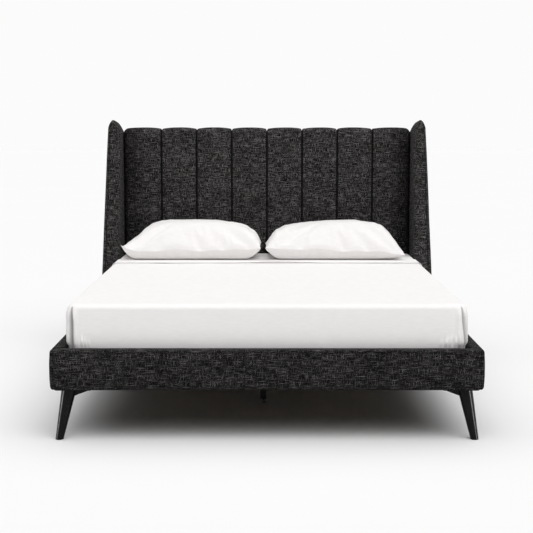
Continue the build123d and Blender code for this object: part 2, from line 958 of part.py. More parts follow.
def drill(nodes, bolts, screws, leg_bolts):
    """Cuts each fastener's own hole in the pieces that it passes through."""
    bolted = [name for name in nodes if name.startswith(("corner_block", "slat_ledge"))]
    bolted += ["foot_rail_core", "side_rail_core_left", "side_rail_core_right"]
    bolted += ["head_cross_rail", "wing_core_left", "wing_core_right", "wing_pad_left"]
    bolted += ["wing_pad_right", "headboard_post_left", "headboard_post_right"]
    screwed = [name for name in nodes if name.startswith(("leg_bracket", "corner_block"))]
    screwed += ["foot_rail_core", "foot_rail_cover", "side_rail_core_left"]
    screwed += ["side_rail_core_right", "side_rail_cover_left", "side_rail_cover_right"]
    screwed += ["head_cross_rail", "wing_core_left", "wing_core_right"]
    screwed += ["headboard_bottom_rail", "beam_hanger_foot", "beam_hanger_head"]
    for names, fasteners in ((bolted, bolts), (screwed, screws)):
        for name in names:
            nodes[name] = nodes[name] - touching(nodes[name], fasteners)
    for name in ("centre_beam", "centre_leg_front", "centre_leg_rear"):
        nodes[name] = nodes[name] - touching(nodes[name], leg_bolts)


def touching(shape, fasteners):
    """The fasteners whose boxes reach the shape's box."""
    box = shape.bounding_box()
    near = []
    for item in fasteners:
        other = item.bounding_box()
        apart = [
            other.min.X > box.max.X or other.max.X < box.min.X,
            other.min.Y > box.max.Y or other.max.Y < box.min.Y,
            other.min.Z > box.max.Z or other.max.Z < box.min.Z,
        ]
        if not any(apart):
            near.append(item)
    return near


def build_bedding(nodes):
    nodes["mattress"] = mattress()
    nodes["fitted_sheet"] = fitted_sheet()
    nodes["top_sheet"] = top_sheet()
    nodes["pillow_left"] = pillow(pillow_left_centre)
    nodes["pillow_right"] = pillow(pillow_right_centre)


def build_bed():
    nodes = {}
    build_headboard(nodes)
    build_frame(nodes)
    build_legs(nodes)
    bolts, screws, leg_bolts = build_fasteners()
    drill(nodes, bolts, screws, leg_bolts)
    nodes["frame_bolts"] = joined(bolts)
    nodes["wood_screws"] = joined(screws)
    nodes["centre_leg_bolts"] = joined(leg_bolts)
    build_bedding(nodes)
    return nodes


os.makedirs("parts", exist_ok=True)
for node_name, node_shape in build_bed().items():
    node_shape.label = node_name
    export_step(node_shape, f"parts/{node_name}.step")
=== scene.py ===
import math

import bpy
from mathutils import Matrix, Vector, noise


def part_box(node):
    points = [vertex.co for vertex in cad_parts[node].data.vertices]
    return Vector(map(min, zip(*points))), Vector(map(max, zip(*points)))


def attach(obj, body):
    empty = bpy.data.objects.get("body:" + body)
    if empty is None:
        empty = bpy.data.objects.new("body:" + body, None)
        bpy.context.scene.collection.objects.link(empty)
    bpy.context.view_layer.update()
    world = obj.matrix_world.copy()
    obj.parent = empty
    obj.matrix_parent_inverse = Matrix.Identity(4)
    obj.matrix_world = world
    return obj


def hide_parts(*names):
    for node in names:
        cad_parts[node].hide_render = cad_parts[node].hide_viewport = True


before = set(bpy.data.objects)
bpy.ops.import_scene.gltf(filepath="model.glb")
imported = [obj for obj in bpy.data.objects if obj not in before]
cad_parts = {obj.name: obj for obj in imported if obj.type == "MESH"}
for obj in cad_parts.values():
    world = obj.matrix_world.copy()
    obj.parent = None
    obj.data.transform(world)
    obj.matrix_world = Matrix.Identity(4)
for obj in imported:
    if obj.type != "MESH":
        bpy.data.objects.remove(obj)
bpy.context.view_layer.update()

MM = 0.001
TAU = 2 * math.pi

# Places read from the frame
mattress_low, mattress_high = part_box("mattress")
sheet_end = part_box("top_sheet")[1].y
rail_low, rail_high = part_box("foot_rail_cover")
side_low, side_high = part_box("side_rail_cover_right")
wing_low, wing_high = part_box("wing_pad_right")
panel_low, panel_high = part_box("headboard_panel")
back_low, back_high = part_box("headboard_back_cover")
strap_low, strap_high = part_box("slat_straps")
head_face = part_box("headboard_channel_4")[0].y
rail_top = rail_high.z


# Mesh building

# Each side of a box by its axis and its end
SIDES = {"left": (0, 0), "right": (0, 1), "front": (1, 0), "back": (1, 1), "bottom": (2, 0),
         "top": (2, 1)}
CLOSED = tuple(SIDES)
# Steps from a face's first corner to each of the four, in turn
AROUND = ((0, 0), (1, 0), (1, 1), (0, 1))


def stops(low, high, step, *fine):
    """Even stations from low to high, set closer round each (place, reach, pitch) in fine."""
    count = max(1, round((high - low) / step))
    coarse = [low + (high - low) * i / count for i in range(count + 1)]
    values = [low, high]
    for place, reach, pitch in fine:
        half = max(1, round(reach / pitch))
        values += [place + reach * i / half for i in range(-half, half + 1)]
        coarse = [value for value in coarse if abs(value - place) > reach + step / 3]
    values = sorted(value for value in values + coarse if low <= value <= high)
    kept = [values[0]]
    for value in values[1:]:
        if value - kept[-1] > 0.1 * MM:
            kept.append(value)
    kept[-1] = high
    return kept


def lattice(stations, sides=CLOSED, keep=None):
    """Points and quads on the named sides of a box that has stations along X, Y and Z."""
    index, points, faces = {}, [], []

    def spot(key):
        return tuple(stations[axis][key[axis]] for axis in range(3))

    def point(key):
        if key not in index:
            index[key] = len(points)
            points.append(spot(key))
        return index[key]

    for side in sides:
        axis, end = SIDES[side]
        a, b = ((1, 2), (2, 0), (0, 1))[axis]
        fixed = (len(stations[axis]) - 1) * end
        for i in range(len(stations[a]) - 1):
            for j in range(len(stations[b]) - 1):
                keys = []
                for di, dj in AROUND:
                    key = [fixed] * 3
                    key[a], key[b] = i + di, j + dj
                    keys.append(tuple(key))
                middle = [(p + q) / 2 for p, q in zip(spot(keys[0]), spot(keys[2]))]
                if keep and not keep(*middle):
                    continue
                corners = [point(key) for key in keys]
                faces.append(corners if end else corners[::-1])
    return points, faces


def rounded(a, b, edge_a, edge_b, sign_a, sign_b, radius):
    """Draws a point near a square corner in to a round one."""
    past_a = sign_a * (a - edge_a) + radius
    past_b = sign_b * (b - edge_b) + radius
    if past_a > 0 and past_b > 0:
        shrink = max(past_a, past_b) / math.hypot(past_a, past_b)
        a = edge_a + sign_a * (past_a * shrink - radius)
        b = edge_b + sign_b * (past_b * shrink - radius)
    return a, b


def bump(distance, width):
    """1 at no distance, easing to 0 at the given width."""
    share = abs(distance) / width
    return 0.0 if share >= 1 else (1 + math.cos(math.pi * share)) / 2


def ease(share):
    share = min(1.0, max(0.0, share))
    return share * share * (3 - 2 * share)


def rough(x, y, z, size, seed=0.0):
    """Soft noise from -1 to 1 whose lumps are about size across."""
    return noise.noise(Vector((x / size + seed, y / size - seed, z / size + 2 * seed)))


def lay_weave(mesh):
    """Gives each face a map in metres, seen square to the way that it mostly faces."""
    layer = mesh.uv_layers.new(name="weave")
    for face in mesh.polygons:
        facing = [abs(part) for part in face.normal]
        main = facing.index(max(facing))
        u, v = ((1, 2), (0, 2), (0, 1))[main]
        for corner in face.loop_indices:
            place = mesh.vertices[mesh.loops[corner].vertex_index].co
            layer.data[corner].uv = (place[u], place[v])


def add_object(name, data):
    made = bpy.data.objects.new(name, data)
    bpy.context.scene.collection.objects.link(made)
    return made


def piece(name, built, look, body, shape=None, relief=None, replaced=(), thick=0.0,
          weave=True, painted_shade=None):
    """Makes one object from points and faces, and hands it to its body."""
    points, faces = built
    mesh = bpy.data.meshes.new(name)
    mesh.from_pydata([shape(*p) if shape else p for p in points], [], faces)
    mesh.update()
    if relief:
        moved = [v.co + v.normal * relief(*p, v.co) for v, p in zip(mesh.vertices, points)]
        for vertex, place in zip(mesh.vertices, moved):
            vertex.co = place
        mesh.update()
    mesh.polygons.foreach_set("use_smooth", [True] * len(mesh.polygons))
    if weave:
        lay_weave(mesh)
    # Each point's painted shade: how much its colour is darkened where shade would fall
    if painted_shade:
        depth = mesh.attributes.new("painted_shade", "FLOAT", "POINT")
        depth.data.foreach_set("value", [painted_shade(*p) for p in points])
    made = add_object(name, mesh)
    mesh.materials.append(look)
    if thick:
        shell = made.modifiers.new("thickness", "SOLIDIFY")
        shell.thickness = thick
        shell.offset = 0
    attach(made, body)
    if replaced:
        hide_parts(*replaced)
    return made


# Materials

class Nodes:
    """The nodes of one tree, each added by one call."""

    def __init__(self, tree):
        self.tree = tree

    def node(self, kind, values=(), **settings):
        made = self.tree.nodes.new(kind)
        for key, value in settings.items():
            setattr(made, key, value)
        for key, value in dict(values).items():
            self.put(made.inputs[key], value)
        return made

    def put(self, socket, value):
        if isinstance(value, bpy.types.NodeSocket):
            self.tree.links.new(value, socket)
        else:
            socket.default_value = value

    def math(self, operation, *values):
        return self.node("ShaderNodeMath", enumerate(values), operation=operation).outputs[0]

    def vector(self, operation, *values):
        return self.node("ShaderNodeVectorMath", enumerate(values), operation=operation).outputs[0]

    def axes(self, vector):
        return self.node("ShaderNodeSeparateXYZ", {"Vector": vector}).outputs

    def total(self, *parts):
        """The sum of (value, weight) pairs."""
        weighed = [self.math("MULTIPLY", value, weight) for value, weight in parts]
        out = weighed[0]
        for value in weighed[1:]:
            out = self.math("ADD", out, value)
        return out

    def wave(self, value, times):
        return self.math("SINE", self.math("MULTIPLY", value, times))

    def seen(self):
        """1 where the camera looks, straight on or in gloss or glass, and 0 for bounced light."""
        path = self.node("ShaderNodeLightPath").outputs
        direct = self.math("MAXIMUM", path["Is Camera Ray"], path["Is Glossy Ray"])
        return self.math("MAXIMUM", direct, path["Is Transmission Ray"])


class Shading(Nodes):
    """A material laid out in the piece's own metres, or over its weave where that is mapped."""

    def __init__(self, name, mapped=False):
        self.material = bpy.data.materials.new(name)
        self.material.use_nodes = True
        super().__init__(self.material.node_tree)
        if mapped:
            self.place = self.node("ShaderNodeUVMap", uv_map="weave").outputs["UV"]
        else:
            self.place = self.node("ShaderNodeTexCoord").outputs["Object"]

    def set(self, **values):
        """Sets the surface's own sockets, spaces written as low lines, and gives the material."""
        surface = self.tree.nodes["Principled BSDF"].inputs
        for key, value in values.items():
            self.put(surface[key.replace("_", " ")], value)
        return self.material

    def noise(self, scale, detail=2.0, roughness=0.5):
        """Noise with one scale, or with one for each axis."""
        place = self.place
        if isinstance(scale, tuple):
            place, scale = self.vector("MULTIPLY", place, scale), 1.0
        values = {"Vector": place, "Scale": scale, "Detail": detail, "Roughness": roughness}
        return self.node("ShaderNodeTexNoise", values).outputs["Fac"]

    def ramp(self, value, *marks):
        made = self.node("ShaderNodeValToRGB", {"Fac": value})
        ramp = made.color_ramp
        while len(ramp.elements) < len(marks):
            ramp.elements.new(0.5)
        for element, (place, colour) in zip(ramp.elements, marks):
            element.position = place
            element.color = (*grey(colour), 1) if isinstance(colour, float) else (*colour, 1)
        return made.outputs["Color"]

    def spread(self, cloudy, low, high):
        """A noise drawn out to run from low to high."""
        return self.ramp(cloudy, (0.3, low), (0.7, high))

    def mix(self, share, first, second):
        """A mix of two colours. Their sockets come after those for numbers and for vectors."""
        values = {0: share, 6: first, 7: second}
        return self.node("ShaderNodeMix", values, data_type="RGBA").outputs[2]

    def relief(self, height, distance, strength, under=None):
        values = {"Height": height, "Distance": distance, "Strength": strength}
        if under:
            values["Normal"] = under
        return self.node("ShaderNodeBump", values).outputs["Normal"]

    def painted_shade_factor(self):
        """What is left of the colour after the piece's painted shade, which darkens its seams,
        folds and gaps as if they lay in shadow.
        """
        depth = self.node("ShaderNodeAttribute", attribute_name="painted_shade").outputs["Fac"]
        return self.math("SUBTRACT", 1.0, depth)


def grey(value):
    return (value, value, value)


def grained(axis, across, along):
    """Noise scales that differ along one axis."""
    return tuple(along if n == axis else across for n in range(3))


def tweed_look():
    """Charcoal tweed: black ground, with grey yarns that run along the weft and up the warp."""
    s = Shading("charcoal_tweed", mapped=True)
    weft = s.noise((24, 340, 1), 1.0)
    warp = s.noise((330, 38, 1), 1.0)
    grain = s.noise((380, 440, 1), 1.0)
    split = s.axes(s.place)
    yarn = TAU / (5.2 * MM)
    weave = s.math("MULTIPLY", s.wave(split["X"], yarn), s.wave(split["Y"], yarn))
    threads = s.math("MAXIMUM", weft, s.math("SUBTRACT", warp, 0.015))
    mottle = s.math("SUBTRACT", s.noise((6, 11, 1)), 0.5)
    shade = s.total((threads, 0.54), (grain, 0.46), (mottle, 0.06), (weave, 0.03))
    ground, dim = (0.445, (0.0015, 0.0014, 0.0014)), (0.508, (0.0095, 0.0091, 0.0089))
    yarns, flecks = (0.562, (0.038, 0.0363, 0.0357)), (0.645, (0.235, 0.225, 0.221))
    # The colour darkened by the piece's painted shade in its seams and shaded parts
    colour = s.vector("MULTIPLY", s.ramp(shade, ground, dim, yarns, flecks), s.painted_shade_factor())
    fuzz = s.noise(900.0)
    height = s.total((s.math("ABSOLUTE", weave), 1.0), (fuzz, 0.6))
    s.set(Base_Color=colour, Roughness=0.92, Normal=s.relief(height, 0.7 * MM, 0.8))
    return s.set(Specular_IOR_Level=0.03, Sheen_Weight=0.03, Sheen_Roughness=0.5)


def linen_look(name, tint, crease=0.6):
    """Washed white cotton: a fine weave, faint slubs and soft creases."""
    s = Shading(name)
    threads = s.noise((900, 900, 2200))
    folds = s.noise((7, 9, 5), 3.0, 0.45)
    slubs = s.noise((30, 30, 160), 3.0)
    dim = tuple(part * 0.965 for part in tint)
    colour = s.mix(s.ramp(slubs, (0.35, 0.0), (0.7, 1.0)), (*dim, 1), (*tint, 1))
    # The colour darkened by the piece's painted shade in its folds and gaps
    colour = s.vector("MULTIPLY", colour, s.painted_shade_factor())
    soft = s.relief(folds, 5 * MM, crease)
    s.set(Base_Color=colour, Roughness=0.85, Normal=s.relief(threads, 0.15 * MM, 0.5, soft))
    return s.set(Specular_IOR_Level=0.2, Sheen_Weight=0.15, Sheen_Roughness=0.4)


def ticking_look():
    """Mattress ticking: off-white damask with a faint diamond figure."""
    s = Shading("ticking")
    split = s.axes(s.place)
    figure = TAU / (60 * MM)
    slant = s.math("ADD", split["X"], split["Y"])
    other = s.math("SUBTRACT", split["X"], split["Y"])
    waves = s.math("MULTIPLY", s.wave(slant, figure), s.wave(other, figure))
    colour = s.ramp(waves, (0.3, (0.62, 0.61, 0.58)), (0.6, (0.74, 0.73, 0.70)))
    threads = s.noise(1400.0)
    s.set(Base_Color=colour, Roughness=0.8)
    s.set(Normal=s.relief(s.math("ADD", waves, threads), 0.8 * MM, 0.6))
    return s.set(Specular_IOR_Level=0.3, Sheen_Weight=0.1)


def lining_look():
    """Black spunbond lining: pressed dots in a fibrous cloth."""
    s = Shading("back_lining")
    dots = s.node("ShaderNodeTexVoronoi", {"Vector": s.place, "Scale": 420.0, "Randomness": 0.25})
    fibres = s.noise((300, 300, 60), 4.0)
    value = s.total((fibres, 0.7), (dots.outputs["Distance"], 1.0))
    colour = s.ramp(value, (0.3, 0.010), (0.8, 0.032))
    cloudy = s.noise(9.0, 3.0)
    s.set(Base_Color=colour, Roughness=s.spread(cloudy, 0.75, 0.9))
    return s.set(Normal=s.relief(value, 0.3 * MM, 0.7), Specular_IOR_Level=0.3)


def timber_look(name, along, pale, dark):
    """Planed softwood with rings and fine pores along one axis."""
    s = Shading(name)
    rings = s.noise(grained(along, 26.0, 1.6), 4.0, 0.6)
    pores = s.noise(grained(along, 420.0, 9.0), 3.0)
    value = s.total((s.wave(rings, 40.0), 0.18), (pores, 0.8))
    colour = s.ramp(value, (0.22, dark), (0.62, pale))
    s.set(Base_Color=colour, Roughness=s.spread(pores, 0.5, 0.68))
    return s.set(Normal=s.relief(value, 0.25 * MM, 0.5), Specular_IOR_Level=0.35)


def plywood_look(name, along, through):
    """Birch plywood: face grain darker than birch as painted shade, and dark and pale plies on the
    edges.
    """
    s = Shading(name)
    grain = s.noise(grained(along, 300.0, 7.0), 4.0, 0.6)
    cloudy = s.noise(6.0)
    figure = s.total((grain, 0.7), (cloudy, 0.4))
    face = s.ramp(figure, (0.35, (0.20, 0.14, 0.08)), (0.7, (0.30, 0.22, 0.14)))
    axis = "XYZ"[through]
    plies = s.wave(s.axes(s.place)[axis], TAU / (3 * MM))
    edge = s.ramp(s.math("ADD", plies, grain), (0.2, (0.24, 0.14, 0.07)), (0.9, (0.60, 0.44, 0.27)))
    normal = s.axes(s.node("ShaderNodeNewGeometry").outputs["Normal"])
    is_edge = s.math("LESS_THAN", s.math("ABSOLUTE", normal[axis]), 0.7)
    s.set(Base_Color=s.mix(is_edge, face, edge), Roughness=s.spread(grain, 0.45, 0.62))
    return s.set(Normal=s.relief(grain, 0.2 * MM, 0.5), Specular_IOR_Level=0.35)


def leg_look():
    """Satin black lacquer on turned wood: faint grain and polish marks."""
    s = Shading("leg_black")
    grain = s.noise((220, 220, 12), 3.0)
    smears = s.noise(24.0, 3.0)
    colour = s.ramp(grain, (0.3, 0.003), (0.75, 0.009))
    s.set(Base_Color=colour, Roughness=s.spread(smears, 0.20, 0.28))
    return s.set(Normal=s.relief(grain, 0.12 * MM, 0.4), Specular_IOR_Level=0.11)


def coated_look(name, low, high, roughness, metallic=0.0, grain=700.0):
    """Powder coat, moulded plastic or plated metal, by its colours and roughness."""
    s = Shading(name)
    speckle = s.noise(grain, 3.0)
    cloudy = s.noise(30.0, 3.0)
    mottle = s.math("MULTIPLY", s.math("ADD", speckle, cloudy), 0.5)
    s.set(Base_Color=s.spread(mottle, low, high))
    s.set(Roughness=s.spread(cloudy, roughness, min(1.0, roughness * 1.35)))
    s.set(Normal=s.relief(speckle, 0.1 * MM, 0.6), Metallic=metallic)
    return s.set(Specular_IOR_Level=0.5 if metallic else 0.12)


def webbing_look():
    """Polyester webbing: a narrow twill in grey and black."""
    s = Shading("webbing", mapped=True)
    split = s.axes(s.place)
    slant = s.math("ADD", split["X"], split["Y"])
    fibres = s.noise((900, 200, 1), 3.0)
    value = s.total((s.wave(slant, TAU / (3 * MM)), 0.3), (fibres, 1.0))
    s.set(Base_Color=s.ramp(value, (0.25, 0.02), (0.85, 0.10)), Roughness=0.75)
    return s.set(Normal=s.relief(value, 0.4 * MM, 0.8), Sheen_Weight=0.15)


tweed = tweed_look()
linen = linen_look("linen_sheet", (0.94, 0.922, 0.915))
# The pillows' linen is tinted darker than the sheet's, as painted shade
pillow_linen = linen_look("linen_pillow", (0.89, 0.872, 0.862), 0.35)
lining = lining_look()
webbing = webbing_look()
ticking = ticking_look()


# Upholstery

GROOVE_HALF = 2.2 * MM
GROOVE_DEPTH = 2.4 * MM
GROOVE_PITCH = GROOVE_HALF / 3
# Painted shade: how much darker the rails' tweed is made all over, and how far from a seam it
# reaches
RAIL_PAINTED_SHADE = 0.36
SEAM_PAINTED_SHADE = 3.4 * MM


def padding(name, built, shape, relief, painted_shade, node, inside_out=False):
    """One tweed pad of the bed frame, in place of the node with that name."""
    made = piece(name, built, tweed, "bed_frame", shape, relief, [node], painted_shade=painted_shade)
    if inside_out:
        made.data.flip_normals()


def groove(distance):
    """A sewn seam: cloth drawn in along a line."""
    return -GROOVE_DEPTH * bump(distance, GROOVE_HALF)


def pucker(along, distance, seed, reach=22 * MM, pitch=17 * MM, height=0.55 * MM):
    """Small gathers square to a seam, dying away from it."""
    wander = rough(along, seed, 0.0, 60 * MM, seed)
    wave = math.sin(TAU * along / pitch + 5 * wander + seed)
    return height * wave * (0.6 + 0.4 * wander) * math.exp(-(distance / reach) ** 2)


def channel(number):
    """One padded channel: up the panel, round over its top edge and level to the back."""
    low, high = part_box(f"headboard_channel_{number}")
    thickness = panel_low.y - low.y
    roll_height = panel_high.z
    crown = 8 * MM
    seam_drop = 16 * MM
    seam_width = 9 * MM
    wing_radius = 27 * MM
    # The painted shadows beside a wing: how dark each is, and how far it reaches
    painted_wing_shadows = ((0.92, 34 * MM), (0.5, 170 * MM))
    middle = (low.x + high.x) / 2
    half = (high.x - low.x) / 2
    rise = roll_height - low.z
    turn = thickness * math.pi / 2
    total = rise + turn + back_high.y - panel_low.y

    def by_wing(x):
        return number in (1, 8) and (x > middle) == (number == 8)

    def face(x):
        from_edge = half - abs(x - middle)
        share = 1 - from_edge / half
        width, drop = (wing_radius, wing_radius) if by_wing(x) else (seam_width, seam_drop)
        past = max(0.0, 1 - from_edge / width)
        return thickness - crown * share ** 2.6 - drop * (1 - (1 - past ** 2) ** 0.5)

    def shape(x, depth, along):
        out = depth / thickness * face(x)
        if along <= rise:
            return x, panel_low.y - out, low.z + along
        if along <= rise + turn:
            angle = (along - rise) / thickness
            return x, panel_low.y - out * math.cos(angle), roll_height + out * math.sin(angle)
        return x, panel_low.y + along - rise - turn, roll_height + out

    def relief(x, depth, along, place):
        if depth < thickness:
            return 0.0
        distance = half - abs(x - middle)
        seed = number + (0.5 if x > middle else 0.0)
        soft = 1.2 * MM * rough(x, along, number, 0.16) * ease(distance / (30 * MM))
        bolster = 1.0 * MM * bump(along - rise - turn / 2, 60 * MM)
        return pucker(along, distance, seed) + soft + bolster * ease(distance / (20 * MM))

    # Painted shade dark along each seam, and painted shadow from the wing on the channel beside it
    def painted_shade(x, depth, along):
        from_edge = half - abs(x - middle)
        if by_wing(x):
            return max(dark * (1 - ease(from_edge / reach)) for dark, reach in painted_wing_shadows)
        return 0.97 * (1 - ease((from_edge - 2 * MM) / (6 * MM)))

    fine = 1.5 * MM
    xs = stops(low.x, high.x, 12 * MM, (low.x, 30 * MM, fine), (high.x, 30 * MM, fine))
    alongs = stops(0, total, 8 * MM, (rise + turn / 2, turn / 2, 3 * MM))
    built = lattice((xs, [0, thickness / 2, thickness], alongs[::-1]))
    node = f"headboard_channel_{number}"
    padding(f"channel_{number}", built, shape, relief, painted_shade, node, inside_out=True)


def ridge_drop(x):
    """How far a wing's top has dropped from its ridge at a place across it."""
    crest, outer = 44 * MM, 65 * MM
    if x < crest:
        share = (crest - x) / crest
        return 66 * MM * share - 50 * MM * share * (1 - share)
    share = (x - crest) / (outer - crest)
    return 28 * MM * share - 27 * MM * share * (1 - share)


def wing(name, side):
    """A padded wing: it leans back, flares towards the floor and has a ridge along its top."""
    inner = wing_low.x
    foot_thickness = wing_high.x - inner
    top_thickness = 65 * MM
    ridge_rise = 39 * MM
    back_fall = 8 * MM
    drop_reach = 210 * MM
    front_top_radius = 52 * MM
    back_top_radius = 18 * MM
    inner_radius = 20 * MM
    outer_radius = 15 * MM
    seam = top_thickness - 13 * MM
    front_foot = wing_low.y
    reach_drop = 168 * MM
    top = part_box("headboard_channel_4")[1].z + ridge_rise
    lean = reach_drop / (top - rail_top)
    span = wing_high.y - front_foot
    solid_depth = 90 * MM
    height = top - wing_low.z

    def shape(x, y, z):
        across = x
        y, z = rounded(y, z, 0, top, -1, 1, front_top_radius)
        y, z = rounded(y, z, span, top, 1, 1, back_top_radius)
        x, y = rounded(x, y, top_thickness, 0, 1, -1, outer_radius)
        x, y = rounded(x, y, 0, 0, -1, -1, inner_radius)
        thick = foot_thickness + (top_thickness - foot_thickness) * (z - wing_low.z) / height
        near = min(y, solid_depth)
        rest = max(0.0, y - solid_depth) / (span - solid_depth)
        start = front_foot + lean * max(0.0, z - rail_top)
        z -= (ridge_drop(across) + back_fall * rest) * max(0.0, 1 - (top - z) / drop_reach)
        y = start + near + rest * (wing_high.y - start - solid_depth)
        return side * (inner + x * thick / top_thickness), y, z

    def relief(x, y, z, place):
        swell = 0.0
        if x >= top_thickness:
            edges = min(y, span - y, z - wing_low.z, top - z)
            swell = 2.5 * MM * ease(edges / (90 * MM))
            swell += 0.8 * MM * rough(*place, 0.2)
        if y <= 0:
            swell = 3.0 * MM * bump(x - 0.45 * top_thickness, 0.5 * top_thickness)
            swell += 0.5 * MM * rough(*place, 0.05)
        if 0 < x < top_thickness:
            line = x - seam
            swell += groove(line) + pucker(z + y, line, 3 + side, 8 * MM, 15 * MM, 0.35 * MM)
        return swell if side > 0 else -swell

    # Painted shade along the wing's sewn seam
    def painted_shade(x, y, z):
        return 0.75 * bump(x - seam, SEAM_PAINTED_SHADE) if 0 < x < top_thickness else 0.0

    fine = 2.5 * MM
    line = (seam, 1.5 * GROOVE_HALF, GROOVE_PITCH)
    xs = stops(0, top_thickness, 5 * MM, (0, 15 * MM, fine), (top_thickness, 10 * MM, fine), line)
    ys = stops(0, span, 10 * MM, (0, front_top_radius, 4 * MM), (span, back_top_radius, 3 * MM))
    zs = stops(wing_low.z, top, 10 * MM, (top, front_top_radius, 3 * MM))
    node = name.replace("wing_", "wing_pad_")
    padding(name, lattice((xs, ys, zs)), shape, relief, painted_shade, node, inside_out=side < 0)


def rail_face(from_edge, from_end, end_reach, lumps, from_seam):
    """How far a rail's padded face stands out."""
    out = 2.0 * MM * ease(from_edge / (45 * MM)) * ease(from_end / end_reach)
    out += 0.7 * MM * lumps * ease(from_edge / (20 * MM))
    return out + 0.5 * groove(from_seam)


def foot_rail():
    """The padded foot rail: a wrapped board with a seam near each end and under its top edge."""
    edge = 9 * MM
    corner = 16 * MM
    seam_inset = 13 * MM
    top_seam = rail_top - 10 * MM
    half = rail_high.x

    def shape(x, y, z):
        sign = math.copysign(1, x)
        x, z = rounded(x, z, sign * half, rail_high.z, sign, 1, edge)
        x, z = rounded(x, z, sign * half, rail_low.z, sign, -1, corner)
        x, y = rounded(x, y, sign * half, rail_low.y, sign, -1, edge)
        y, z = rounded(y, z, rail_low.y, rail_high.z, -1, 1, edge)
        y, z = rounded(y, z, rail_low.y, rail_low.z, -1, -1, edge)
        y, z = rounded(y, z, rail_high.y, rail_high.z, 1, 1, edge)
        return x, y, z

    def relief(x, y, z, place):
        from_end = half - abs(x)
        from_edge = min(z - rail_low.z, rail_high.z - z)
        out = 0.0
        if y <= rail_low.y:
            lumps = rough(x, 0.0, z, 0.09)
            out = rail_face(from_edge, from_end, 60 * MM, lumps, z - top_seam)
        if from_end <= 0:
            out += 2.5 * MM * ease(from_edge / (60 * MM))
        line = from_end - seam_inset
        return out + groove(line) + pucker(z, line, 9.0, 8 * MM, 16 * MM, 0.3 * MM)

    # Painted shade: the whole rail darker, and darker still along its end seams and top seam
    def painted_shade(x, y, z):
        end = 0.8 * bump(half - abs(x) - seam_inset, SEAM_PAINTED_SHADE)
        under_top = 0.5 * bump(z - top_seam, SEAM_PAINTED_SHADE) if y <= rail_low.y else 0.0
        return max(RAIL_PAINTED_SHADE, end, under_top)

    fine = 3 * MM
    seams = [(sign * (half - seam_inset), GROOVE_HALF, GROOVE_PITCH) for sign in (-1, 1)]
    line = (top_seam, GROOVE_HALF, GROOVE_PITCH)
    front, back = (rail_low.y, edge, fine), (rail_high.y, edge, fine)
    xs = stops(-half, half, 12 * MM, (-half, edge, fine), (half, edge, fine), *seams)
    ys = stops(rail_low.y, rail_high.y, 8 * MM, front, back)
    zs = stops(rail_low.z, rail_high.z, 8 * MM, (rail_low.z, corner, fine), line)
    padding("foot_rail_padding", lattice((xs, ys, zs)), shape, relief, painted_shade, "foot_rail_cover")


def side_rail(name, side):
    """A padded side rail that runs from the foot rail into its wing."""
    edge = 9 * MM
    top_seam = rail_top - 11 * MM
    inner, outer = side_low.x, side_high.x

    def shape(x, y, z):
        x, z = rounded(x, z, outer, side_high.z, 1, 1, edge)
        x, z = rounded(x, z, outer, side_low.z, 1, -1, edge)
        x, z = rounded(x, z, inner, side_high.z, -1, 1, edge)
        return side * x, y, z

    def relief(x, y, z, place):
        if x < outer:
            return 0.0
        from_edge = min(z - side_low.z, side_high.z - z)
        from_end = min(y - side_low.y, side_high.y - y)
        lumps = rough(0.0, y, z, 0.1)
        return side * rail_face(from_edge, from_end, 40 * MM, lumps, z - top_seam)

    # Painted shade: the outer face darker, more so by its top seam; near black by the bed at the
    # top
    def painted_shade(x, y, z):
        if x >= outer:
            return max(RAIL_PAINTED_SHADE, 0.5 * bump(z - top_seam, SEAM_PAINTED_SHADE))
        by_bed = 1 - ease((x - inner - 12 * MM) / (12 * MM))
        return max(RAIL_PAINTED_SHADE, 0.95 * by_bed * ease((z - side_high.z + 40 * MM) / (20 * MM)))

    fine = 3 * MM
    line = (top_seam, GROOVE_HALF, GROOVE_PITCH)
    xs = stops(inner, outer, 8 * MM, (inner, edge, fine), (outer, edge, fine))
    ys = stops(side_low.y, side_high.y, 14 * MM)
    zs = stops(side_low.z, side_high.z, 8 * MM, (side_low.z, edge, fine), line)
    node = name.replace("padding", "cover")
    padding(name, lattice((xs, ys, zs)), shape, relief, painted_shade, node, inside_out=side < 0)


def back_cover():
    """The black lining behind the headboard, turned in round its edge."""
    hem = 14 * MM

    def relief(x, y, z, place):
        if y < back_high.y:
            return 0.0
        from_edge = min(x - back_low.x, back_high.x - x, z - back_low.z, back_high.z - z)
        out = -1.2 * MM * bump(from_edge - hem, 5 * MM)
        out -= 0.8 * MM * ease(from_edge / 0.25) * (0.5 + 0.5 * rough(x, 0.0, z, 0.3))
        return out + 0.4 * MM * rough(x, 1.0, z, 0.07)

    def across(low, high):
        folds = [(place, 5 * MM, 1.7 * MM) for place in (low + hem, high - hem)]
        return stops(low, high, 16 * MM, *folds)

    xs, zs = across(back_low.x, back_high.x), across(back_low.z, back_high.z)
    made = piece(
        "back_lining_panel", lattice((xs, [back_low.y, back_high.y], zs)), lining,
        "bed_frame", None, relief, ["headboard_back_cover"],
    )


# Bedding

